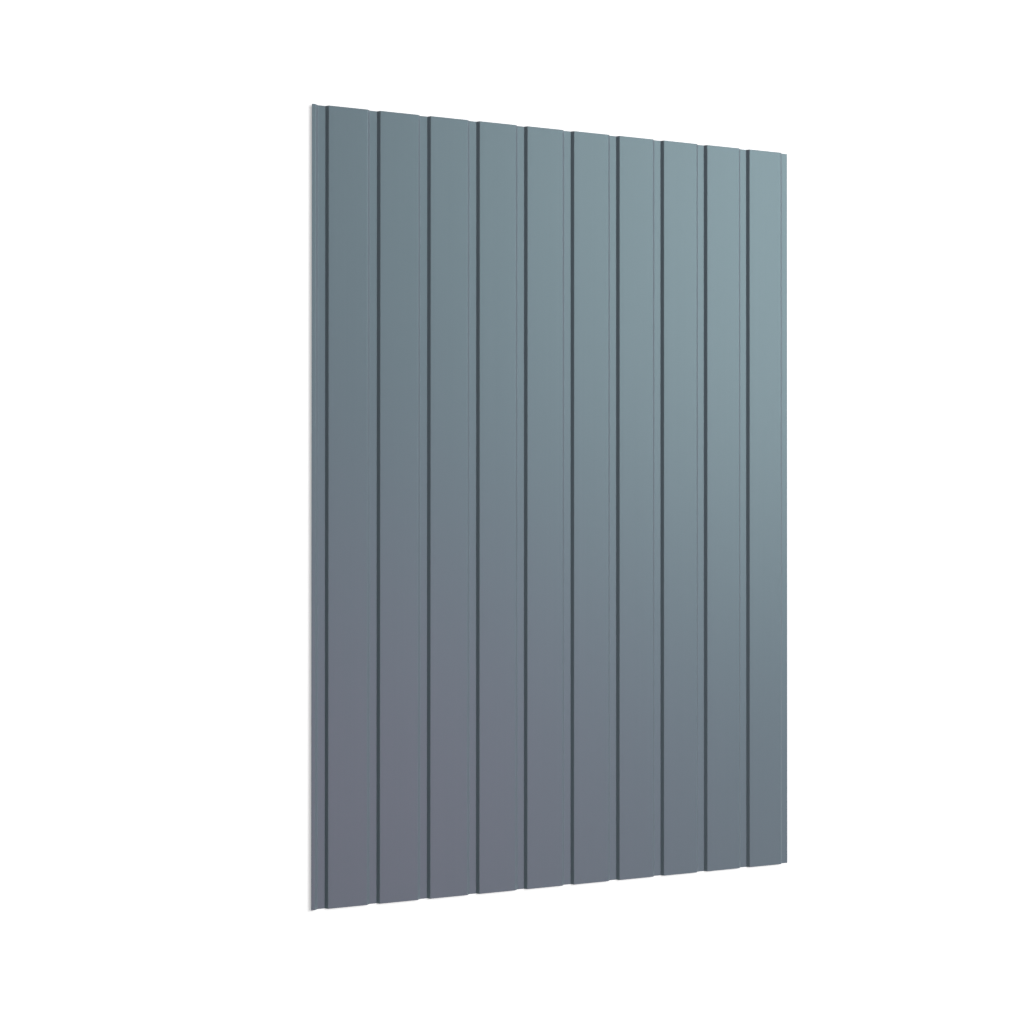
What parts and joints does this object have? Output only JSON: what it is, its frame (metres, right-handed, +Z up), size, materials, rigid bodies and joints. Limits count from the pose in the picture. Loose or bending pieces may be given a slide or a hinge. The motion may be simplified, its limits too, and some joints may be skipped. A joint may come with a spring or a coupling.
{
  "type": "corrugated metal sheet",
  "caption": "Flat-lying coated steel sheet with wide raised strips between narrow straight grooves, with a lap lip and a lap flange, for cladding walls and fences.",
  "frame": {"origin": "on the floor under the middle of the sheet", "axes": "+X across the ribs from the lap lip to the lap flange, +Y along the ribs, +Z up, out of the coated face"},
  "size_m": [1.18, 1.75, 0.0065],
  "materials": {
    "coated_steel": "blue-grey semi-gloss coil coating on zinc-coated steel"
  },
  "bodies": {
    "root": {"corrugated_sheet": "coated_steel"}
  },
  "joints": []
}
